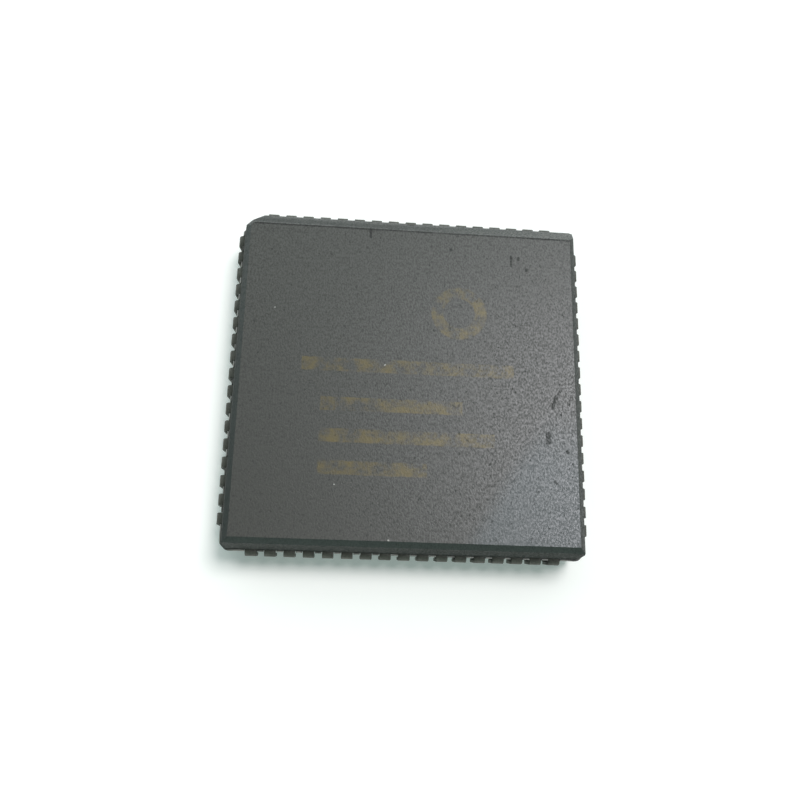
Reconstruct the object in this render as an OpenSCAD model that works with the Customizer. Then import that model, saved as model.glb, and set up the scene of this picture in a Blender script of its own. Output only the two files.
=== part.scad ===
// Plastic leaded chip carrier: a square moulded body on four rows of J-leads.
// Millimetres. The origin is the centre of the package on its seating plane, +Z up.
// Side one, with the bevel and the index notch, faces +Y. The index corner is at -X, +Y.

/* [Leads] */
// Leads on each side
leads_per_side = 17; // [13:2:21]
// Distance from lead to lead
pitch = 1.27; // [1.2:0.01:1.35]
// Thickness of the lead frame
lead_thickness = 0.22; // [0.2:0.01:0.3]
// Width of a lead at its shoulder
shoulder_width = 0.76; // [0.6:0.01:0.85]
// Straight stretch between the wall and the shoulder bend
shoulder_run = 0.03; // [0.02:0.01:0.2]
// Inside radius of the shoulder bend
shoulder_radius = 0.14; // [0.1:0.01:0.3]
// Width of a lead at its foot
foot_width = 0.46; // [0.33:0.01:0.53]
// Straight stretch of the narrow foot, between its bend and the step to shoulder width
neck_run = 0.06; // [0.04:0.01:0.5]
// Inside radius of the foot bends
foot_radius = 0.6; // [0.5:0.01:0.7]
// Angle by which a leg leans inwards under its shoulder
leg_lean = 8; // [2:1:10]
// Length of the flat that stands on the board
foot_flat = 0.25; // [0.1:0.01:0.4]
// Angle through which the tip curls up
foot_curl = 75; // [55:1:80]

/* [Body] */
// Distance from the last lead of a row to the side of the body
row_end = 2.005; // [1.8:0.005:2.1]
// Overall height above the seating plane
height = 4.45; // [4.19:0.01:5]
// Height of the parting line above the seating plane
parting_height = 2.65; // [2.4:0.01:3]
// Gap between the seating plane and the underside of the body
standoff = 0.58; // [0.51:0.01:0.75]
// How far the wall leans in from the parting line up to the edge bevel
wall_lean = 0.235; // [0.05:0.005:0.4]
// How far the narrow bevel round the top face runs in over it
edge_bevel = 0.37; // [0.1:0.01:0.45]
// How far the narrow bevel drops down the wall
edge_drop = 0.31; // [0.1:0.01:0.45]
// How far the side-one bevel runs in over the top face
side_bevel_run = 0.72; // [0.4:0.01:1.2]
// Height of the wall left between the leads and the foot of the side-one bevel
side_bevel_land = 0.4; // [0.15:0.01:0.8]
// Width of the half-round index notch in the side-one bevel
index_notch_width = 0.7; // [0.4:0.05:1]
// Height of the notch's floor above the leads
index_notch_floor = 0.25; // [0.1:0.01:0.5]
// Size of the 45 degree chamfer on the index corner
index_chamfer = 1.35; // [0.8:0.01:1.6]
// Radius of the other corners at the parting line
corner_radius = 0.6; // [0.3:0.05:0.9]
// How far the wall tapers in from the parting line down to the flange's underside
lower_taper = 0.12; // [0.02:0.01:0.25]
// How far the wall is set back behind the leads
lead_recess = 0.2; // [0.05:0.01:0.35]
// Length of that recess past the last lead of a row
recess_end = 0.3; // [0.1:0.05:0.5]
// How far the trimmed moulding flash stands out of the wall between the leads
flash_reach = 0.1; // [0.04:0.01:0.16]
// Gap between the flash and the leads and tie bars beside it
flash_gap = 0.04; // [0.02:0.01:0.08]

/* [Underside] */
// Room between the lead tips and the flange's underside above them
tip_headroom = 0.29; // [0.15:0.01:0.5]
// How far the base reaches out past the lead tips
tip_cover = 0.45; // [0.2:0.05:0.6]
// Clearance round a lead tip in its pocket
tip_clearance = 0.1; // [0.05:0.01:0.2]
// Diameter of the ejector pin marks on the underside
ejector_mark = 1.6; // [1:0.1:2.5]
// Depth of the ejector pin marks
ejector_depth = 0.06; // [0.02:0.01:0.15]

/* [Lead frame] */
// Length of the full-width root of a lead, inside the wall
root_length = 0.9; // [0.5:0.05:1.5]
// Width of a finger where it leaves its root
finger_width = 0.4; // [0.3:0.01:0.5]
// Width of a finger at its tip
tip_width = 0.28; // [0.2:0.01:0.3]
// Gap between the die paddle and the finger tips
tip_gap = 0.6; // [0.4:0.05:1]
// Room between the last finger tip of a row and the corner, for the tie bar
tip_corner = 0.8; // [0.7:0.05:1.2]
// Width of the die paddle
paddle_size = 8.8; // [8:0.1:9.2]
// Width of the tie bars at the paddle's corners
tie_bar_width = 0.4; // [0.25:0.01:0.5]
// How far the cut ends of the tie bars stand out of the body's corners
tie_stub = 0.06; // [0.04:0.01:0.1]

/* [Die] */
// Width of the silicon die
die_size = 6.2; // [5.5:0.1:7.5]
// Thickness of the silicon die
die_thickness = 0.38; // [0.25:0.01:0.5]
// Thickness of the die attach layer
attach_thickness = 0.03; // [0.02:0.005:0.06]
// How far the die attach layer shows round the die
attach_margin = 0.15; // [0.05:0.01:0.3]
// Distance of the bond pads from the die's edge
pad_inset = 0.2; // [0.1:0.01:0.4]
// Distance of the last bond pad of a row from the die's corner
pad_corner = 0.46; // [0.3:0.01:0.8]
// Thickness of a bond wire
wire_size = 0.033; // [0.025:0.001:0.05]
// Height of a wire's loop above the die
loop_height = 0.2; // [0.12:0.01:0.3]
// Distance of the wire's end from the finger's tip
bond_reach = 0.2; // [0.1:0.01:0.4]

/* [Hidden] */
$fn = 48;
SIDES = ["front", "right", "back", "left"];
steps = leads_per_side - 1;
row_half = steps / 2 * pitch;
body_half = row_half + row_end;
body_size = 2 * body_half;
bevel_half = body_half - wall_lean;
top_half = bevel_half - edge_bevel;
bevel_foot = height - edge_drop;
frame_bottom = parting_height - lead_thickness / 2;
frame_top = parting_height + lead_thickness / 2;
side_bevel_foot = frame_top + side_bevel_land;
flash_half = body_half + flash_reach;
shoulder_r = body_half + shoulder_run;
shoulder_z = frame_bottom - shoulder_radius;
shoulder_outer = shoulder_radius + lead_thickness;
foot_outer = foot_radius + lead_thickness;
leg_drop = shoulder_z - foot_outer;
foot_inset = (foot_outer - shoulder_outer + leg_drop * sin(leg_lean)) / cos(leg_lean);
leg_length = foot_inset * sin(leg_lean) + leg_drop * cos(leg_lean);
neck_step = (shoulder_width - foot_width) / 2;
foot_r = shoulder_r - foot_inset;
curl_r = foot_r - foot_flat;
tip_reach = curl_r - foot_outer * sin(foot_curl);
flange_height = foot_outer - foot_radius * cos(foot_curl) + tip_headroom;
base_half = tip_reach + tip_cover;
root_r = body_half - root_length;
tip_r = paddle_size / 2 + tip_gap;
tip_pitch = 2 * (tip_r - tip_corner) / steps;
die_bottom = frame_top + attach_thickness;
die_top = die_bottom + die_thickness;
pad_r = die_size / 2 - pad_inset;
pad_pitch = 2 * (die_size / 2 - pad_corner) / steps;
bond_r = tip_r + bond_reach;
reach = 2 * body_size;

// Distances from the centre, along the diagonals, to a rounded corner and to the chamfer
corner_r = sqrt(2) * (body_half - corner_radius) + corner_radius;
chamfer_r = sqrt(2) * body_half - index_chamfer / sqrt(2);

// Half width of the drafted wall at a height above the parting line
function wall_at(z) = bevel_half + wall_lean * (bevel_foot - z) / (bevel_foot - parting_height);

// Places of lead number i along its row: the lead, its tip, its bond pad and its wire's end
function lead_x(i) = (i - steps / 2) * pitch;
function tip_x(i) = (i - steps / 2) * tip_pitch;
function pad_x(i) = (i - steps / 2) * pad_pitch;
function bond_x(i) = tip_x(i) + (lead_x(i) - tip_x(i)) * bond_reach / (root_r - tip_r);

// Turns a piece drawn for the front row to one of the four sides
module on_side(side) {
    rotate([0, 0, 90 * search([side], SIDES)[0]])
        children();
}

// Carries a section drawn in X and Z along Y
module along_y(length) {
    rotate([90, 0, 0])
        linear_extrude(height = length, center = true)
            children();
}

// Section across the body, the same on both sides
module cross_section() {
    polygon([
        [-top_half, height],
        [top_half, height],
        [bevel_half, bevel_foot],
        [body_half, parting_height],
        [body_half - lower_taper, flange_height],
        [lower_taper - body_half, flange_height],
        [-body_half, parting_height],
        [-bevel_half, bevel_foot]
    ]);
}

// Section from side one, at the left here, to the opposite side
module side_one_section() {
    polygon([
        [side_bevel_run - top_half, height],
        [top_half, height],
        [bevel_half, bevel_foot],
        [body_half, parting_height],
        [body_half - lower_taper, flange_height],
        [lower_taper - body_half, flange_height],
        [-body_half, parting_height],
        [-wall_at(side_bevel_foot), side_bevel_foot]
    ]);
}

// Section on the diagonal, with the chamfered index corner at the right
module index_corner_section() {
    polygon([
        [-reach, height],
        [chamfer_r - wall_lean - edge_bevel, height],
        [chamfer_r - wall_lean, bevel_foot],
        [chamfer_r, parting_height],
        [chamfer_r - lower_taper, flange_height],
        [-reach, flange_height]
    ]);
}

// Upright cross with round inner corners, which rounds the corners of a square inside it
module corner_rounding(half, radius) {
    straight = half - radius;
    translate([-reach / 2, -straight, 0])
        cube([reach, 2 * straight, 2 * height]);
    translate([-straight, -reach / 2, 0])
        cube([2 * straight, reach, 2 * height]);
    for (x = [-1, 1], y = [-1, 1])
        translate([x * straight, y * straight, 0])
            cylinder(r = radius, h = 2 * height);
}

// Moulded outline above and below the parting line, down to the flange's underside
module body_outline() {
    intersection() {
        along_y(reach)
            cross_section();
        rotate([0, 0, -90])
            along_y(reach)
                side_one_section();
        rotate([0, 0, 135])
            along_y(reach)
                index_corner_section();
        corner_rounding(body_half, corner_radius);
    }
}

// Shallow wall set back behind one row of leads
module row_recess() {
    recess_half = row_half + shoulder_width / 2 + recess_end;
    translate([-recess_half, -body_half, 0])
        cube([2 * recess_half, lead_recess, frame_bottom]);
}

// Pockets in the edge of the base for the lead tips of one row
module tip_pockets() {
    pocket_width = foot_width + 2 * tip_clearance;
    pocket_r = tip_reach - tip_clearance;
    for (i = [0 : steps])
        translate([lead_x(i) - pocket_width / 2, -body_half, 0])
            cube([pocket_width, body_half - pocket_r, flange_height]);
}

// Gaps in the flash for one row of leads and for the tie bar at its right-hand end
module flash_gaps() {
    lead_gap = shoulder_width + 2 * flash_gap;
    tie_gap = tie_bar_width + 2 * flash_gap;
    for (i = [0 : steps])
        translate([lead_x(i) - lead_gap / 2, -body_size, 0])
            cube([lead_gap, body_size - root_r, height]);
    rotate([0, 0, -45])
        translate([body_half, -tie_gap / 2, 0])
            cube([body_half, tie_gap, height]);
}

// Thin flash at the parting line, trimmed off between the leads and round the corners
module flash_rim() {
    difference() {
        intersection() {
            translate([-flash_half, -flash_half, frame_bottom])
                cube([2 * flash_half, 2 * flash_half, lead_thickness]);
            corner_rounding(flash_half, corner_radius + flash_reach);
        }
        for (side = SIDES)
            on_side(side)
                flash_gaps();
        rotate([0, 0, 135])
            translate([chamfer_r + flash_reach, -body_half, 0])
                cube([body_half, body_size, height]);
    }
}

// Raised base inside the rows of lead tips
module base_block() {
    difference() {
        intersection() {
            translate([-base_half, -base_half, standoff])
                cube([2 * base_half, 2 * base_half, frame_bottom - standoff]);
            corner_rounding(base_half, corner_radius);
        }
        for (side = SIDES)
            on_side(side)
                tip_pockets();
        rotate([0, 0, 135])
            translate([sqrt(2) * base_half - index_chamfer / sqrt(2), -body_half, 0])
                cube([body_half, body_size, flange_height]);
        for (x = [-1, 1], y = [-1, 1])
            translate([x * base_half / 2, y * base_half / 2, standoff])
                cylinder(d = ejector_mark, h = 2 * ejector_depth, center = true);
    }
}

// Half-round notch that marks the middle lead of side one
module index_notch() {
    translate([0, wall_at(side_bevel_foot), frame_top + index_notch_floor])
        cylinder(d = index_notch_width, h = height);
}

// Flat finger of one lead, from its tip beside the paddle out to the shoulder bend
module finger(i) {
    translate([0, 0, frame_bottom])
        linear_extrude(height = lead_thickness)
            polygon([
                [tip_x(i) - tip_width / 2, -tip_r],
                [lead_x(i) - finger_width / 2, -root_r],
                [lead_x(i) - shoulder_width / 2, -root_r],
                [lead_x(i) - shoulder_width / 2, -shoulder_r],
                [lead_x(i) + shoulder_width / 2, -shoulder_r],
                [lead_x(i) + shoulder_width / 2, -root_r],
                [lead_x(i) + finger_width / 2, -root_r],
                [tip_x(i) + tip_width / 2, -tip_r]
            ]);
}

// Bend of the lead strip, from a start angle, in the plane of the lead's side view
module strip_bend(centre, radius, start, angle, width) {
    translate([centre[0], centre[1], 0])
        rotate([0, 0, start])
            rotate_extrude(angle = angle)
                translate([radius, -width / 2])
                    square([lead_thickness, width]);
}

// Outside of a lead in side view, X outwards and Y up: shoulder, leg, foot and curled tip
module lead_leg() {
    strip_bend([shoulder_r, shoulder_z], shoulder_radius, -leg_lean, 90 + leg_lean, shoulder_width);
    translate([shoulder_r, shoulder_z, 0])
        rotate([0, 0, -leg_lean])
            translate([shoulder_radius, -leg_length, 0])
                rotate([0, 90, 0])
                    linear_extrude(height = lead_thickness)
                        polygon([
                            [shoulder_width / 2, leg_length],
                            [shoulder_width / 2, neck_run + neck_step],
                            [foot_width / 2, neck_run],
                            [foot_width / 2, 0],
                            [-foot_width / 2, 0],
                            [-foot_width / 2, neck_run],
                            [-shoulder_width / 2, neck_run + neck_step],
                            [-shoulder_width / 2, leg_length]
                        ]);
    strip_bend([foot_r, foot_outer], foot_radius, -90, 90 - leg_lean, foot_width);
    translate([curl_r, 0, -foot_width / 2])
        cube([foot_flat, lead_thickness, foot_width]);
    strip_bend([curl_r, foot_outer], foot_radius, -90 - foot_curl, foot_curl, foot_width);
}

// One row of leads, drawn along the front
module lead_row() {
    for (i = [0 : steps]) {
        finger(i);
        translate([lead_x(i), 0, 0])
            rotate([90, 0, -90])
                lead_leg();
    }
}

// One bond wire, from its pad on the die over a low loop down to its finger
module wire(i) {
    run = norm([bond_x(i) - pad_x(i), bond_r - pad_r]);
    turn = atan2(bond_x(i) - pad_x(i), bond_r - pad_r);
    half = wire_size / 2;
    crest = run / 3;
    drop = die_top - frame_top;
    translate([pad_x(i), -pad_r, die_top])
        rotate([90, 0, turn - 90])
            linear_extrude(height = wire_size, center = true)
                polygon([
                    [-half, 0],
                    [-half, loop_height + half],
                    [crest, loop_height + half],
                    [run + half, -drop],
                    [run - half, -drop],
                    [crest - half, loop_height - half],
                    [half, loop_height - half],
                    [half, 0]
                ]);
}

// One row of bond wires, drawn along the front
module wire_row() {
    for (i = [0 : steps])
        wire(i);
}

// Outline of one tie bar: from the paddle's edge out along a diagonal and back
function tie_bar(turn, length) =
    let (half = tie_bar_width / 2, start = sqrt(2) * paddle_size / 2 - half)
    [
        for (p = [[start, -half], [length, -half], [length, half], [start, half]])
            [p[0] * cos(turn) - p[1] * sin(turn), p[0] * sin(turn) + p[1] * cos(turn)]
    ];

// Square paddle and its four tie bars, etched from the sheet in one piece
module die_paddle() {
    corner_bar = corner_r + tie_stub;
    index_bar = chamfer_r + tie_stub;
    color("peru")
        translate([0, 0, frame_bottom])
            linear_extrude(height = lead_thickness)
                polygon(concat(
                    tie_bar(45, corner_bar),
                    tie_bar(135, index_bar),
                    tie_bar(225, corner_bar),
                    tie_bar(315, corner_bar)
                ));
}

module die_attach() {
    attach_size = die_size + 2 * attach_margin;
    color("silver")
        translate([-attach_size / 2, -attach_size / 2, frame_top])
            cube([attach_size, attach_size, attach_thickness]);
}

module silicon_die() {
    color("slategray")
        translate([-die_size / 2, -die_size / 2, die_bottom])
            cube([die_size, die_size, die_thickness]);
}

module body() {
    color([0.2, 0.21, 0.2])
        difference() {
            union() {
                difference() {
                    body_outline();
                    for (side = SIDES)
                        on_side(side)
                            row_recess();
                }
                flash_rim();
                base_block();
            }
            index_notch();
            die_paddle();
            die_attach();
            silicon_die();
            for (side = SIDES)
                on_side(side) {
                    for (i = [0 : steps])
                        finger(i);
                    wire_row();
                }
        }
}

module leads(side) {
    color([0.42, 0.42, 0.38])
        on_side(side)
            lead_row();
}

module wires(side) {
    color("gold")
        on_side(side)
            wire_row();
}

body();
leads("front");  // leads_front
leads("right");  // leads_right
leads("back");  // leads_back
leads("left");  // leads_left
die_paddle();
die_attach();
silicon_die();
wires("front");  // wires_front
wires("right");  // wires_right
wires("back");  // wires_back
wires("left");  // wires_left
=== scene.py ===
# %% [markdown]
# # A plastic leaded chip carrier
# The object is a square chip, moulded in charcoal epoxy, on four rows of J-shaped leads. It lies leads down on
# white paper. The pieces come in at their real size, in metres, with the origin under the middle of the chip on
# its seating plane. This lesson rounds their edges, gives each one its finish, and lights and frames the scene.

# %% Load the pieces
import math

import bmesh
import bpy
import numpy as np
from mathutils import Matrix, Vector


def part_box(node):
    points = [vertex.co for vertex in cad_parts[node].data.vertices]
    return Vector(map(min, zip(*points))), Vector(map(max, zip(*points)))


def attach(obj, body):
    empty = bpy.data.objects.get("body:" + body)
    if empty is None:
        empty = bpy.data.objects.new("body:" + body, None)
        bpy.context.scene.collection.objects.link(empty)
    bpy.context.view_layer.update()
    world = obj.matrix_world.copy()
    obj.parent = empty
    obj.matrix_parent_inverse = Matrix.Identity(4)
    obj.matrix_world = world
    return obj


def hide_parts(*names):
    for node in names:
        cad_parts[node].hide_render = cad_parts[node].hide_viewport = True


MM = 0.001
SIDES = ("front", "right", "back", "left")

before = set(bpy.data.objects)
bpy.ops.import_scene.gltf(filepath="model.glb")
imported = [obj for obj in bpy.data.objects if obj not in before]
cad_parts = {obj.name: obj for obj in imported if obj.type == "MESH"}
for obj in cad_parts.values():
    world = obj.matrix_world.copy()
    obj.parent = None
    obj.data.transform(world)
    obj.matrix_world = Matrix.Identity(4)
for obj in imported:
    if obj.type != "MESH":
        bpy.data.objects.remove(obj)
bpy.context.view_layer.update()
print("pieces:", ", ".join(sorted(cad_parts)))

# %% [markdown]
# ## The top face
# Marks and print lie on the flat top, so its height and its edges are wanted first. They could be typed in, but
# the mesh already holds them: every vertex at the greatest height belongs to the top face.

# %% Measure the top face
LEVEL_TOLERANCE = 0.001 * MM

body_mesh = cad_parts["body"].data
body_points = np.empty(3 * len(body_mesh.vertices), np.float32)
body_mesh.vertices.foreach_get("co", body_points)
body_points = body_points.reshape(-1, 3)
TOP = float(body_points[:, 2].max())
top_points = body_points[body_points[:, 2] > TOP - LEVEL_TOLERANCE]
top_low, top_high = top_points.min(axis=0), top_points.max(axis=0)
print("top face in mm, from", np.round(top_low / MM, 2), "to", np.round(top_high / MM, 2))

# %% [markdown]
# ## The camera
# The picture was taken by hand from above, a little in front of the chip and to its left. The focal length is in
# pixels of an 800 pixel picture, which Blender wants as millimetres on a 36 mm sensor. A near clipping plane of
# one millimetre keeps such a small object in view.

# %% Place the camera
PICTURE_SIDE = 800
FOCAL_PIXELS = 860.73
SENSOR = 36.0
CAMERA_PLACE = np.array((-4.894, -18.655, 60.474)) * MM
CAMERA_TURN = (16.45, -4.705, 1.254)

camera_data = bpy.data.cameras.new("camera")
camera_data.sensor_width = SENSOR
camera_data.lens = FOCAL_PIXELS / PICTURE_SIDE * SENSOR
camera_data.clip_start = 1 * MM
camera = bpy.data.objects.new("camera", camera_data)
camera.location = CAMERA_PLACE
camera.rotation_euler = [math.radians(angle) for angle in CAMERA_TURN]
bpy.context.scene.collection.objects.link(camera)
bpy.context.scene.camera = camera
print("lens:", round(camera_data.lens, 2), "mm")

# %% [markdown]
# ## Small helpers for node trees
# A material is a tree of nodes. Written out in full, each node takes several lines, so these helpers make a node,
# set its properties and join it up in one call. A socket takes either a link from another socket or a value.

# %% Helpers that make nodes
def add_node(tree, kind, **settings):
    """A new node of one kind in a tree, with its properties set by name."""
    node = tree.nodes.new(kind)
    for name, value in settings.items():
        setattr(node, name, value)
    return node


def feed(tree, socket, source):
    """Joins an input socket to another socket, or sets its value."""
    if isinstance(source, bpy.types.NodeSocket):
        tree.links.new(source, socket)
    else:
        socket.default_value = source


def calc(tree, operation, *sources):
    """One step of arithmetic on numbers, and its result."""
    node = add_node(tree, "ShaderNodeMath", operation=operation)
    for socket, source in zip(node.inputs, sources):
        feed(tree, socket, source)
    return node.outputs[0]


def vector_calc(tree, operation, *sources):
    """One step of arithmetic on vectors. The dot product, the length and the distance come out as numbers."""
    node = add_node(tree, "ShaderNodeVectorMath", operation=operation)
    for socket, source in zip(node.inputs, sources):
        feed(tree, socket, source)
    number = operation in ("DOT_PRODUCT", "LENGTH", "DISTANCE")
    return node.outputs["Value" if number else "Vector"]


def split_axes(tree, vector):
    """The X, Y and Z of a vector."""
    node = add_node(tree, "ShaderNodeSeparateXYZ")
    feed(tree, node.inputs[0], vector)
    return node.outputs


def ramp(tree, value, low, high, to_low=0.0, to_high=1.0, smooth=True):
    """Carries a value from one range to another, clamped, along a soft or a straight ramp."""
    kind = "SMOOTHSTEP" if smooth else "LINEAR"
    node = add_node(tree, "ShaderNodeMapRange", interpolation_type=kind)
    names = ("Value", "From Min", "From Max", "To Min", "To Max")
    for name, source in zip(names, (value, low, high, to_low, to_high)):
        feed(tree, node.inputs[name], source)
    return node.outputs["Result"]


def noise(tree, position, size, detail=2.0, roughness=0.5):
    """Soft noise from 0 to 1 whose patches are about that size, in metres."""
    node = add_node(tree, "ShaderNodeTexNoise", noise_dimensions="3D")
    feed(tree, node.inputs["Vector"], position)
    node.inputs["Scale"].default_value = 1.0 / size
    node.inputs["Detail"].default_value = detail
    node.inputs["Roughness"].default_value = roughness
    return node.outputs["Fac"]


def mix_colour(tree, share, first, second):
    """The first colour where share is 0 or less and the second where it is 1 or more."""
    node = add_node(tree, "ShaderNodeMix", data_type="RGBA")
    for socket, source in zip((node.inputs[0], node.inputs[6], node.inputs[7]), (share, first, second)):
        feed(tree, socket, source)
    return node.outputs[2]


# %% Helpers for groups and materials
FLOAT = "NodeSocketFloat"
VECTOR = "NodeSocketVector"


def new_group(name, inputs, outputs):
    """An empty shader node group with named sockets, its input node and its output node."""
    tree = bpy.data.node_groups.new(name, "ShaderNodeTree")
    for label, kind in inputs:
        tree.interface.new_socket(label, in_out="INPUT", socket_type=kind)
    for label, kind in outputs:
        tree.interface.new_socket(label, in_out="OUTPUT", socket_type=kind)
    return tree, add_node(tree, "NodeGroupInput"), add_node(tree, "NodeGroupOutput")


def use_group(tree, group, **sources):
    """Places a group in a tree and feeds its inputs, whose names are written here with _ for a space."""
    node = add_node(tree, "ShaderNodeGroup", node_tree=group)
    for name, source in sources.items():
        feed(tree, node.inputs[name.replace("_", " ")], source)
    return node.outputs


def new_material(name):
    """An empty material: its tree, its Principled shader and the Object coordinates."""
    material = bpy.data.materials.new(name)
    material.use_nodes = True
    tree = material.node_tree
    shader = tree.nodes["Principled BSDF"]
    position = add_node(tree, "ShaderNodeTexCoord").outputs["Object"]
    return material, tree, shader, position


def add_bump(tree, shader, height, strength, distance):
    """Tilts a shader's normals by the slope of a height, which counts for that distance in metres."""
    bump = add_node(tree, "ShaderNodeBump")
    bump.inputs["Strength"].default_value = strength
    bump.inputs["Distance"].default_value = distance
    feed(tree, bump.inputs["Height"], height)
    feed(tree, shader.inputs["Normal"], bump.outputs["Normal"])


# %% [markdown]
# ## Paper
# The chip lies on white paper. The paper is lit like anything else, so that it keeps the shadow, and what the
# camera sees of it, straight or in a gloss, gets a little glow of its own that lifts it to white. The glow is
# slightly green, because the shadow in the picture is.

# %% Floor
PAPER = (0.88, 0.88, 0.88, 1.0)
PAPER_GLOW = 0.205
PAPER_GLOW_COLOUR = (0.82, 1.0, 0.95, 1.0)
PAPER_HALF = 1.5


def seen_share(tree):
    """1 for what the camera sees straight, in a gloss or through glass, and 0 for light on its way."""
    path = add_node(tree, "ShaderNodeLightPath").outputs
    seen = calc(tree, "MAXIMUM", path["Is Camera Ray"], path["Is Glossy Ray"])
    return calc(tree, "MAXIMUM", seen, path["Is Transmission Ray"])


def make_floor():
    """A square of paper in the plane of the seating face."""
    corners = [(x * PAPER_HALF, y * PAPER_HALF, 0.0) for x, y in ((-1, -1), (1, -1), (1, 1), (-1, 1))]
    mesh = bpy.data.meshes.new("paper")
    mesh.from_pydata(corners, [], [(0, 1, 2, 3)])
    floor = bpy.data.objects.new("paper", mesh)
    bpy.context.scene.collection.objects.link(floor)
    material, tree, shader, _ = new_material("white paper")
    shader.inputs["Base Color"].default_value = PAPER
    shader.inputs["Roughness"].default_value = 1.0
    shader.inputs["Specular IOR Level"].default_value = 0.0
    shader.inputs["Emission Color"].default_value = PAPER_GLOW_COLOUR
    feed(tree, shader.inputs["Emission Strength"], calc(tree, "MULTIPLY", seen_share(tree), PAPER_GLOW))
    mesh.materials.append(material)


make_floor()
print("paper:", 2 * PAPER_HALF, "m square")

# %% [markdown]
# ## Light
# The main light comes from above, a little behind and to the right, and leaves a short shadow in front. A bright
# wall to the right glows in the top face, which is why the charcoal looks paler on the right than on the left.
# Both are sun lamps with wide discs, which give soft shadows and light the whole floor evenly, where an area lamp
# would fall off across it. The work is shared between them: the main light falls on surfaces and is kept out of
# their gloss, as a photographer does with a filter, and the wall shows only in the gloss.
#
# The rest of the room is a gradient by direction. It is bright behind, which lifts the far half of the top, and
# dim overhead, which leaves the near half dark. Some greenish light comes from low in front, and falls on the
# front wall and the leads there.

# %% Lamps and world
BRIGHT_SIDE = (-0.10, 0.95, 0.29)
BRIGHT_FROM, BRIGHT_TO = 0.45, 0.64
DIM_LEVEL, BRIGHT_LEVEL = 0.09, 1.88
BLACK = (0.0, 0.0, 0.0, 1.0)
WHITE = (1.0, 1.0, 1.0, 1.0)
BEHIND_COLOUR = (0.97, 1.08, 1.07, 1.0)
FRONT_SIDE = (0.0, -1.0, 0.0)
FRONT_FROM, FRONT_TO = 0.3, 0.9
FRONT_SHARE = 0.5
FRONT_COLOUR = (0.74, 1.0, 0.86, 1.0)


def make_sun(name, towards, disc, strength, colour, in_gloss):
    """A sun lamp in one direction, with a disc of that many degrees: it shows in the gloss or lights surfaces."""
    lamp = bpy.data.lights.new(name, "SUN")
    lamp.angle = math.radians(disc)
    lamp.energy = strength
    lamp.color = colour
    sun = bpy.data.objects.new(name, lamp)
    x, y, z = towards
    sun.rotation_euler = (math.atan2(math.hypot(x, y), z), 0.0, math.atan2(y, x) + math.pi / 2)
    sun.visible_glossy = in_gloss
    sun.visible_diffuse = not in_gloss
    bpy.context.scene.collection.objects.link(sun)


def make_world():
    """Light from all round, by direction, and plain white where it is seen. The mix holds the level at 1."""
    world = bpy.data.worlds.new("room")
    bpy.context.scene.world = world
    world.use_nodes = True
    tree = world.node_tree
    direction = add_node(tree, "ShaderNodeTexCoord").outputs["Generated"]
    behind = vector_calc(tree, "DOT_PRODUCT", direction, BRIGHT_SIDE)
    level = ramp(tree, behind, BRIGHT_FROM, BRIGHT_TO, DIM_LEVEL, BRIGHT_LEVEL)
    tint = mix_colour(tree, level, BLACK, BEHIND_COLOUR)
    in_front = vector_calc(tree, "DOT_PRODUCT", direction, FRONT_SIDE)
    front_share = ramp(tree, in_front, FRONT_FROM, FRONT_TO, 0.0, FRONT_SHARE)
    tint = mix_colour(tree, front_share, tint, FRONT_COLOUR)
    camera_ray = add_node(tree, "ShaderNodeLightPath").outputs["Is Camera Ray"]
    background = tree.nodes["Background"]
    feed(tree, background.inputs["Color"], mix_colour(tree, camera_ray, tint, WHITE))
    background.inputs["Strength"].default_value = 1.0


make_sun("main light", towards=(0.27, 0.25, 0.93), disc=24.0, strength=2.1,
         colour=(1.0, 0.95, 0.94), in_gloss=False)
make_sun("bright wall on the right", towards=(0.50, 0.29, 0.815), disc=34.0, strength=1.90,
         colour=(0.96, 0.94, 1.0), in_gloss=True)
make_world()
bpy.context.scene.view_settings.view_transform = "Standard"
print("lamps:", ", ".join(lamp.name for lamp in bpy.data.lights))

# %% [markdown]
# ## Shared effects
# Two effects are used again and again: the fine grain that spark erosion leaves in a mould or a die, and a soft
# streak, which serves for a scratch, a speck, a line of painted shade or a disc of print. Each is a node group,
# built once.

# %% Grain and streak groups
FINE_SIZE = 0.12 * MM
MOTTLE_SIZE = 0.5 * MM
CLOUD_SIZE = 4.0 * MM
PIT_SIZE = 0.22 * MM
DRAWN_OUT = (1.0, 0.65, 1.0)
MOTTLE_IN_HEIGHT = 0.3


def make_grain_group():
    """Grain from four noises: fine speckle, coarser mottle, sparse pits and broad clouds. Tone is for colour."""
    tree, ins, outs = new_group(
        "grain",
        [("Position", VECTOR), ("Fine", FLOAT), ("Mottle", FLOAT)],
        [("Tone", FLOAT), ("Height", FLOAT), ("Pits", FLOAT), ("Cloud", FLOAT)],
    )
    drawn_out = vector_calc(tree, "MULTIPLY", ins.outputs["Position"], DRAWN_OUT)
    fine = noise(tree, drawn_out, FINE_SIZE, 1.0, 0.8)
    mottle = noise(tree, ins.outputs["Position"], MOTTLE_SIZE, 3.0, 0.6)
    cloud = noise(tree, ins.outputs["Position"], CLOUD_SIZE, 2.0, 0.5)
    pits = ramp(tree, noise(tree, drawn_out, PIT_SIZE, 1.0, 0.6), 0.34, 0.26)
    fine_part = calc(tree, "MULTIPLY", calc(tree, "SUBTRACT", fine, 0.5), ins.outputs["Fine"])
    mottle_part = calc(tree, "MULTIPLY", calc(tree, "SUBTRACT", mottle, 0.5), ins.outputs["Mottle"])
    tone = calc(tree, "ADD", calc(tree, "ADD", fine_part, mottle_part), 0.5)
    feed(tree, outs.inputs["Tone"], tone)
    height = calc(tree, "ADD", fine, calc(tree, "MULTIPLY", mottle, MOTTLE_IN_HEIGHT))
    feed(tree, outs.inputs["Height"], height)
    feed(tree, outs.inputs["Pits"], pits)
    feed(tree, outs.inputs["Cloud"], cloud)
    return tree


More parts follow.
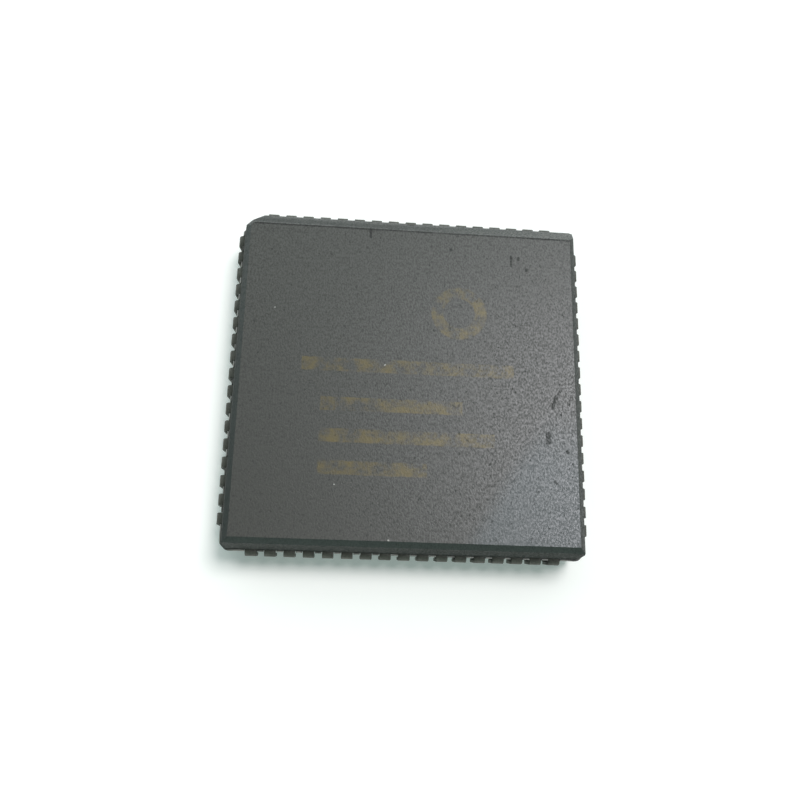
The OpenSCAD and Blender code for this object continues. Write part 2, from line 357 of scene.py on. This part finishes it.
def make_streak_group():
    """A soft streak: 1 within Half Width of the line from Start to End, fading to 0 over Softness."""
    tree, ins, outs = new_group(
        "streak",
        [("Position", VECTOR), ("Start", VECTOR), ("End", VECTOR), ("Half Width", FLOAT), ("Softness", FLOAT)],
        [("Mask", FLOAT)],
    )
    here = vector_calc(tree, "SUBTRACT", ins.outputs["Position"], ins.outputs["Start"])
    line = vector_calc(tree, "SUBTRACT", ins.outputs["End"], ins.outputs["Start"])
    along = calc(tree, "DIVIDE", vector_calc(tree, "DOT_PRODUCT", here, line),
                 vector_calc(tree, "DOT_PRODUCT", line, line))
    share = ramp(tree, along, 0.0, 1.0, smooth=False)
    scaled = add_node(tree, "ShaderNodeVectorMath", operation="SCALE")
    feed(tree, scaled.inputs[0], line)
    feed(tree, scaled.inputs["Scale"], share)
    away = vector_calc(tree, "DISTANCE", here, scaled.outputs["Vector"])
    edge = calc(tree, "ADD", ins.outputs["Half Width"], ins.outputs["Softness"])
    feed(tree, outs.inputs["Mask"], ramp(tree, away, ins.outputs["Half Width"], edge, 1.0, 0.0))
    return tree


GRAIN = make_grain_group()
STREAK = make_streak_group()
print("groups:", ", ".join(group.name for group in bpy.data.node_groups))

# %% [markdown]
# ## Marks on the top
# The top carries a few dark scratches and stains, and some pale specks of dust. They could be painted on an image,
# but a few numbers do it: each is a streak placed in millimetres on the top face, bent a little by noise so that
# its edge isn't drawn with a ruler. Shade is painted along the crease at the inner edge of the side-one bevel, as
# one long streak.

# %% Places of the marks, in millimetres
# Dark marks: start, end, half width, strength
DARK_MARKS = [
    ((-3.03, 10.84), (-3.01, 10.15), 0.05, 0.9),
    ((2.80, 9.53), (2.80, 9.47), 0.06, 0.8),
    ((7.19, 9.23), (7.18, 8.51), 0.05, 0.75),
    ((7.70, 9.14), (7.70, 9.00), 0.06, 0.75),
    ((8.28, 8.28), (8.28, 8.18), 0.07, 0.75),
    ((10.85, -5.10), (10.85, -5.18), 0.05, 0.7),
    ((10.50, -0.72), (10.25, -1.30), 0.06, 0.35),
    ((10.15, -1.25), (9.92, -2.06), 0.05, 0.65),
    ((9.57, -3.95), (9.55, -4.50), 0.13, 0.55),
]
DARK_EDGE = 0.09
# Pale specks: place, half width
PALE_SPECKS = [
    ((-9.51, 4.37), 0.01),
    ((-1.73, 0.50), 0.02),
    ((-4.87, -7.95), 0.02),
    ((-1.21, -11.50), 0.02),
]
PALE_EDGE = 0.06
# Painted shade along the crease at the inner edge of the bevel: its distance from the edge of the top face, half
# width, softness
CREASE_SHADE_INSET, CREASE_SHADE_HALF, CREASE_SHADE_EDGE = 0.04, 0.05, 0.07
print("marks:", len(DARK_MARKS), "dark and", len(PALE_SPECKS), "pale")


# %% Masks for the marks
def on_top(place):
    """A place on the top face, from millimetres to metres."""
    return (place[0] * MM, place[1] * MM, TOP)


def strongest(tree, masks):
    """The greatest of several masks at each point."""
    result = masks[0]
    for mask in masks[1:]:
        result = calc(tree, "MAXIMUM", result, mask)
    return result


def streak_mask(tree, position, start, end, half_width, softness):
    """A streak on the top face, from millimetres."""
    streak = use_group(tree, STREAK, Position=position, Start=on_top(start), End=on_top(end),
                       Half_Width=half_width * MM, Softness=softness * MM)
    return streak["Mask"]


def spot_mask(tree, position, place, half_width, softness):
    """A round spot on the top face: a streak of hardly any length."""
    return streak_mask(tree, position, place, (place[0] + 0.001, place[1]), half_width, softness)


def bend_position(tree, position, size, reach):
    """Positions shifted along X and Y by noise of that size, by up to half the reach."""
    wobble = add_node(tree, "ShaderNodeTexNoise")
    feed(tree, wobble.inputs["Vector"], position)
    wobble.inputs["Scale"].default_value = 1 / size
    shift = vector_calc(tree, "SUBTRACT", wobble.outputs["Color"], (0.5, 0.5, 0.5))
    return vector_calc(tree, "ADD", position, vector_calc(tree, "MULTIPLY", shift, (reach, reach, 0.0)))


def axis_height(tree, position):
    """The height of a point."""
    return vector_calc(tree, "DOT_PRODUCT", position, (0.0, 0.0, 1.0))


def top_mask(tree, position):
    """1 on the flat top, and 0 a few hundredths of a millimetre below it."""
    return ramp(tree, axis_height(tree, position), TOP - 0.03 * MM, TOP - 0.01 * MM)


def dark_masks(tree, position, grain):
    """Masks of all that darkens the top: pits in the grain, scratches and stains, and painted shade along the
    bevel's inner crease.
    """
    masks = [calc(tree, "MULTIPLY", grain["Pits"], 0.5)]
    for start, end, half_width, strength in DARK_MARKS:
        mark = streak_mask(tree, position, start, end, half_width, DARK_EDGE)
        masks.append(calc(tree, "MULTIPLY", mark, strength))
    # Painted shade along the crease at the inner edge of the side-one bevel, broken up by the clouds.
    crease_shade_y = top_high[1] / MM - CREASE_SHADE_INSET
    ends = ((top_low[0] / MM, crease_shade_y), (top_high[0] / MM, crease_shade_y))
    crease_shade = streak_mask(tree, position, *ends, CREASE_SHADE_HALF, CREASE_SHADE_EDGE)
    masks.append(calc(tree, "MULTIPLY", crease_shade, ramp(tree, grain["Cloud"], 0.3, 0.6, 0.45, 0.8)))
    return masks


# %% [markdown]
# ## Print
# Chips of this kind are stamped with print. Here it is only a plain ring over four plain bars, in a faded ochre
# ink that noise has worn away in patches. Each bar is a level stroke with square ends, and the ring is a disc less
# a smaller disc.

# %% Print on the top face, in millimetres
RING_CENTRE = (3.4, 4.6)
RING_RADIUS = 1.9
RING_EDGE = 0.12
INK_HALF = 0.42
BAR_EDGE = 0.1
# Each bar's left end and right end
PRINT_BARS = [
    ((-7.4, 0.4), (7.2, 0.4)),
    ((-6.0, -2.4), (3.6, -2.4)),
    ((-6.0, -4.6), (5.8, -4.6)),
    ((-6.0, -6.8), (1.2, -6.8)),
]
WEAR_SIZE = 1.1 * MM
WORN_AWAY, WORN_NOT = 0.36, 0.68


def bar_mask(tree, position, start, end):
    """A level bar with square ends: the share of a point inside it along X, times the same along Y."""
    middle = [(a + b) / 2 * MM for a, b in zip(start, end)]
    halves = ((end[0] - start[0]) / 2 * MM, INK_HALF * MM)
    inside = []
    for axis, centre, half in zip(split_axes(tree, position), middle, halves):
        away = calc(tree, "ABSOLUTE", calc(tree, "SUBTRACT", axis, centre))
        inside.append(ramp(tree, away, half, half + BAR_EDGE * MM, 1.0, 0.0))
    return calc(tree, "MULTIPLY", *inside)


def print_mask(tree, position):
    """Ring and bars of print, where the wear has left them."""
    disc = spot_mask(tree, position, RING_CENTRE, RING_RADIUS, RING_EDGE)
    hole = spot_mask(tree, position, RING_CENTRE, RING_RADIUS - 2 * INK_HALF, RING_EDGE)
    marks = [calc(tree, "SUBTRACT", disc, hole)]
    for start, end in PRINT_BARS:
        marks.append(bar_mask(tree, position, start, end))
    left = ramp(tree, noise(tree, position, WEAR_SIZE, 4.0, 0.7), WORN_AWAY, WORN_NOT)
    printed = calc(tree, "MULTIPLY", strongest(tree, marks), left)
    return calc(tree, "MULTIPLY", printed, top_mask(tree, position))


print("print: a ring and", len(PRINT_BARS), "bars")

# %% [markdown]
# ## Rubbed patch with painted sheen, and flash with painted light
# At the front right the top is paler and cooler, up to a slanting edge: partly a rubbed patch and partly a painted
# sheen that stands in for a reflection. Its mask is the distance of a point from the line of that edge. Between
# the leads, a thin ledge of resin was squeezed out of the mould: the flash, which is pale where it is thin, and
# painted paler still where it lies in shade. It stands further out than the wall, so its mask is the greater of a
# point's distances from the middle along X and along Y.

# %% Masks for the patch and the flash
# Edge of the patch: its front end and its back end, and where it fades across the edge and towards the back
RUBBED_SHEEN_EDGE = ((4.2, -11.3), (8.3, -4.4))
RUBBED_SHEEN_ACROSS = (-0.6 * MM, 1.0 * MM)
RUBBED_SHEEN_BACK = (1.0 * MM, 7.0 * MM)
FLASH_AND_LIGHT_PATCH = 1.6 * MM
FLASH_AND_LIGHT_DEPTH = (0.08 * MM, 0.05 * MM)


def rubbed_sheen_mask(tree, position):
    """The rubbed patch with its painted sheen: how far a point lies to the right of its slanting edge, and in
    front of its back end.
    """
    start, end = (np.array(place) * MM for place in RUBBED_SHEEN_EDGE)
    along = (end - start) / np.linalg.norm(end - start)
    right = (along[1], -along[0], 0.0)
    away = calc(tree, "SUBTRACT", vector_calc(tree, "DOT_PRODUCT", position, right), float(start @ right[:2]))
    front = vector_calc(tree, "DOT_PRODUCT", position, (0.0, -1.0, 0.0))
    patch = calc(tree, "MULTIPLY", ramp(tree, away, *RUBBED_SHEEN_ACROSS), ramp(tree, front, *RUBBED_SHEEN_BACK))
    return calc(tree, "MULTIPLY", patch, top_mask(tree, position))


def flash_and_light_mask(tree, position):
    """The pale flash with painted light on it: what stands further out along X or Y than the wall does, in
    patches.
    """
    x, y, _ = split_axes(tree, position)
    out = calc(tree, "MAXIMUM", calc(tree, "ABSOLUTE", x), calc(tree, "ABSOLUTE", y))
    reach = float(body_points[:, 0].max())
    left = ramp(tree, noise(tree, position, FLASH_AND_LIGHT_PATCH), 0.36, 0.6)
    ledge = ramp(tree, out, reach - FLASH_AND_LIGHT_DEPTH[0], reach - FLASH_AND_LIGHT_DEPTH[1])
    return calc(tree, "MULTIPLY", ledge, left)


# %% [markdown]
# ## Moulding compound
# The body is epoxy filled with ground silica and carbon black: charcoal grey, with small dark pits and a fine
# grain that breaks up its gloss. A bump alone looks like leather and colour alone hides the bevels, so the grain
# is shared out: some in the colour, more in the roughness, and a little in the bump. Shade is painted on the
# slopes round the top, greenish and darkest on the left and in front, and the walls and the marks are duller.

# %% Make the compound
COMPOUND_DARK = (0.037, 0.038, 0.034, 1.0)
COMPOUND_LIGHT = (0.073, 0.076, 0.070, 1.0)
# Colour of the stains and scratches, and of the painted shade along the bevel's inner crease.
STAIN_AND_CREASE_SHADE = (0.016, 0.017, 0.016, 1.0)
DUST = (0.45, 0.46, 0.44, 1.0)
INK = (0.118, 0.094, 0.036, 1.0)
# Rubbed patch and painted sheen: a paler, cooler colour that partly stands in for a reflection.
RUBBED_SHEEN = (0.084, 0.105, 0.113, 1.0)
RUBBED_SHEEN_SHARE = 0.5
# Pale resin flash, painted paler still as light on a ledge that lies in the body's shadow.
FLASH_WITH_PAINTED_LIGHT = (0.46, 0.47, 0.45, 1.0)
# Painted shade: slopes and walls are darkened and tinted greenish by their normal, most on the left and in front.
PAINTED_SLOPE_SHADE = (0.009, 0.020, 0.019, 1.0)
PAINTED_SLOPE_SHADE_SHARE = 0.38
NEAR_SLOPE_MORE_PAINTED_SHADE = 0.33
ROUGHEST, SMOOTHEST = 0.59, 0.285
SIDE_DULLNESS = 0.4
COMPOUND_IOR = 1.58
COMPOUND_BUMP = 0.010 * MM
BEND_SIZE, BEND_REACH = 0.3 * MM, 0.12 * MM


def painted_slope_shade_share(tree, facing):
    """Painted shade by the normal: none on the level top, some on slopes and walls, more on the left and front
    slopes.
    """
    near = ramp(tree, calc(tree, "MINIMUM", facing["X"], facing["Y"]), -0.4, -0.6, 0.0, NEAR_SLOPE_MORE_PAINTED_SHADE)
    near = calc(tree, "MULTIPLY", near, ramp(tree, facing["Z"], 0.5, 0.7))
    return ramp(tree, facing["Z"], 0.95, 0.80, 0.0, calc(tree, "ADD", near, PAINTED_SLOPE_SHADE_SHARE))


def make_compound():
    """Charcoal epoxy: grain, then painted sheen, flash, print, dark marks and dust laid over it, then painted
    slope shade.
    """
    material, tree, shader, position = new_material("moulding compound")
    grain = use_group(tree, GRAIN, Position=position, Fine=3.2, Mottle=0.8)
    bent = bend_position(tree, position, BEND_SIZE, BEND_REACH)
    facing = split_axes(tree, add_node(tree, "ShaderNodeNewGeometry").outputs["Normal"])
    dark = dark_masks(tree, bent, grain)
    pale = [spot_mask(tree, bent, place, half_width, PALE_EDGE) for place, half_width in PALE_SPECKS]

    colour = mix_colour(tree, grain["Tone"], COMPOUND_DARK, COMPOUND_LIGHT)
    layers = [
        # Painted sheen on the rubbed patch.
        (calc(tree, "MULTIPLY", rubbed_sheen_mask(tree, bent), RUBBED_SHEEN_SHARE), RUBBED_SHEEN),
        # The flash, with painted light.
        (flash_and_light_mask(tree, position), FLASH_WITH_PAINTED_LIGHT),
        (print_mask(tree, bent), INK),
        # Stains and scratches, and painted shade along the bevel's inner crease.
        (strongest(tree, dark), STAIN_AND_CREASE_SHADE),
        (strongest(tree, pale), DUST),
        # Painted shade on the slopes and walls.
        (painted_slope_shade_share(tree, facing), PAINTED_SLOPE_SHADE),
    ]
    for share, layer_colour in layers:
        colour = mix_colour(tree, share, colour, layer_colour)
    feed(tree, shader.inputs["Base Color"], colour)

    gloss = ramp(tree, grain["Tone"], 0.0, 1.0, ROUGHEST, SMOOTHEST, smooth=False)
    dull = calc(tree, "MULTIPLY", strongest(tree, [ramp(tree, facing["Z"], 0.76, 0.50), *dark]), SIDE_DULLNESS)
    feed(tree, shader.inputs["Roughness"], calc(tree, "ADD", gloss, dull))
    shader.inputs["IOR"].default_value = COMPOUND_IOR
    add_bump(tree, shader, grain["Height"], 1.0, COMPOUND_BUMP)
    return material


compound = make_compound()
print("compound:", len(compound.node_tree.nodes), "nodes")

# %% [markdown]
# ## Metals and silicon
# The leads are copper alloy with a tin-lead plate. On the legs it is a soft grey. At the shoulders it is a dull,
# dark
# olive: partly tarnished plate and partly painted shade. The paddle inside is the bare alloy. Only the cut ends of
# its tie bars show, at the corners, where the air has turned them brown. Both take the same dark colour, which
# takes over with the height on the leads and with the distance from the middle on the paddle. Tarnish isn't a
# metal, so it lowers the metallic share as well.

# %% Make the metals and the silicon
# A dark olive: oxide on the tie bars, and on the lead shoulders partly oxide and partly painted shade.
TARNISH_AND_SHADE_DARK = (0.060, 0.063, 0.055, 1.0)
TARNISH_AND_SHADE_LIGHT = (0.130, 0.135, 0.118, 1.0)
TARNISH_AND_SHADE_METALLIC = 0.4
SHOULDER_TARNISH_AND_SHADE_HEIGHTS = (1.7 * MM, 2.4 * MM)
TARNISH_DISTANCES = (12.0 * MM, 14.5 * MM)
METAL_BUMP = 0.006 * MM


def shoulder_tarnish_and_shade_share(tree, position):
    """Tarnish and painted shade on the leads: none on the legs and full on the shoulders."""
    return ramp(tree, axis_height(tree, position), *SHOULDER_TARNISH_AND_SHADE_HEIGHTS)


def tie_bar_share(tree, position):
    """Tarnish on the paddle: none in the middle and full at the ends of the tie bars."""
    return ramp(tree, vector_calc(tree, "LENGTH", position), *TARNISH_DISTANCES)


def make_metal(name, dark, light, roughness, metallic=1.0, tarnish_and_shade_share=None):
    """Dull metal: grain between two colours and in roughness. Tarnish, and painted shade on lead shoulders, by its
    share.
    """
    material, tree, shader, position = new_material(name)
    grain = use_group(tree, GRAIN, Position=position, Fine=0.8, Mottle=1.2)
    colour = mix_colour(tree, grain["Tone"], dark, light)
    shader.inputs["Metallic"].default_value = metallic
    if tarnish_and_shade_share:
        share = tarnish_and_shade_share(tree, position)
        tarnish_and_shade = mix_colour(tree, grain["Tone"], TARNISH_AND_SHADE_DARK, TARNISH_AND_SHADE_LIGHT)
        colour = mix_colour(tree, share, colour, tarnish_and_shade)
        feed(tree, shader.inputs["Metallic"], ramp(tree, share, 0.0, 1.0, metallic, TARNISH_AND_SHADE_METALLIC))
    feed(tree, shader.inputs["Base Color"], colour)
    gloss = ramp(tree, grain["Tone"], 0.0, 1.0, roughness + 0.12, roughness - 0.08)
    feed(tree, shader.inputs["Roughness"], gloss)
    add_bump(tree, shader, grain["Height"], 0.2, METAL_BUMP)
    return material


plate = make_metal("dull plate", (0.15, 0.15, 0.135, 1), (0.29, 0.29, 0.265, 1), 0.55, 0.8, shoulder_tarnish_and_shade_share)
copper = make_metal("bare copper alloy", (0.48, 0.27, 0.17, 1), (0.72, 0.46, 0.32, 1), 0.35, 1.0, tie_bar_share)
silver_epoxy = make_metal("silver epoxy", (0.45, 0.45, 0.43, 1), (0.62, 0.62, 0.6, 1), 0.5, 0.4)
silicon = make_metal("silicon", (0.13, 0.14, 0.17, 1), (0.24, 0.26, 0.3, 1), 0.2, 0.7)
gold = make_metal("gold wire", (0.7, 0.48, 0.16, 1), (0.85, 0.64, 0.25, 1), 0.25)
print("metals:", ", ".join(material.name for material in (plate, copper, silver_epoxy, silicon, gold)))

# %% [markdown]
# ## Rounded edges
# No moulded or punched edge is perfectly sharp, and a narrow round catches a thread of light. The body and the
# leads are copied for that. In a copy, the loose triangles are merged and the flat ones joined into whole faces.
# Its sharp edges then get a weight, and a Bevel modifier rounds the weighted ones. On the body only the skin
# above the bond wires is rounded: the channels inside it are a few hundredths of a millimetre wide, and have no
# room.

# %% Rounded body and leads
SHARP = math.radians(15)
FLAT = math.radians(0.5)
MERGE_DISTANCE = 0.0001 * MM
BODY_ROUND = 0.07 * MM
LEAD_ROUND = 0.03 * MM
ABOVE_WIRES = 0.01 * MM


def rounded_copy(node_name, piece_name, material, radius, low=-math.inf):
    """A copy of a CAD piece, whose sharp edges above a height get rounded."""
    shape = bmesh.new()
    shape.from_mesh(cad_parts[node_name].data)
    bmesh.ops.remove_doubles(shape, verts=shape.verts, dist=MERGE_DISTANCE)
    bmesh.ops.dissolve_limit(shape, angle_limit=FLAT, verts=shape.verts, edges=shape.edges)
    weight = shape.edges.layers.float.new("bevel_weight_edge")
    rounded = 0
    for edge in shape.edges:
        if len(edge.link_faces) == 2 and edge.calc_face_angle() > SHARP:
            if min(vertex.co.z for vertex in edge.verts) > low:
                edge[weight] = 1.0
                rounded += 1
            else:
                edge.smooth = False
    for face in shape.faces:
        face.smooth = True
    mesh = bpy.data.meshes.new(piece_name)
    shape.to_mesh(mesh)
    shape.free()
    mesh.materials.append(material)
    piece = bpy.data.objects.new(piece_name, mesh)
    bpy.context.scene.collection.objects.link(piece)
    bevel = piece.modifiers.new("rounded edges", "BEVEL")
    bevel.limit_method = "WEIGHT"
    bevel.width = radius
    bevel.segments = 3
    bevel.harden_normals = True
    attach(piece, "root")
    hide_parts(node_name)
    print(piece_name + ":", rounded, "edges to round on", len(mesh.polygons), "faces")


wires_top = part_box("wires_front")[1][2]
rounded_copy("body", "moulded_body", compound, BODY_ROUND, wires_top + ABOVE_WIRES)
for side in SIDES:
    rounded_copy(f"leads_{side}", f"plated_leads_{side}", plate, LEAD_ROUND)

# %% [markdown]
# ## Inner pieces
# The die, its adhesive, the paddle and the bond wires are closed inside the body. They keep the shapes they came
# with and get their finishes, so that they are ready when the body is taken away.

# %% Finish the inner pieces
FINISHES = {"die_paddle": copper, "die_attach": silver_epoxy, "silicon_die": silicon}
FINISHES.update({f"wires_{side}": gold for side in SIDES})
for node_name, node_material in FINISHES.items():
    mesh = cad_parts[node_name].data
    mesh.materials.clear()
    mesh.materials.append(node_material)
print("finished:", ", ".join(FINISHES))
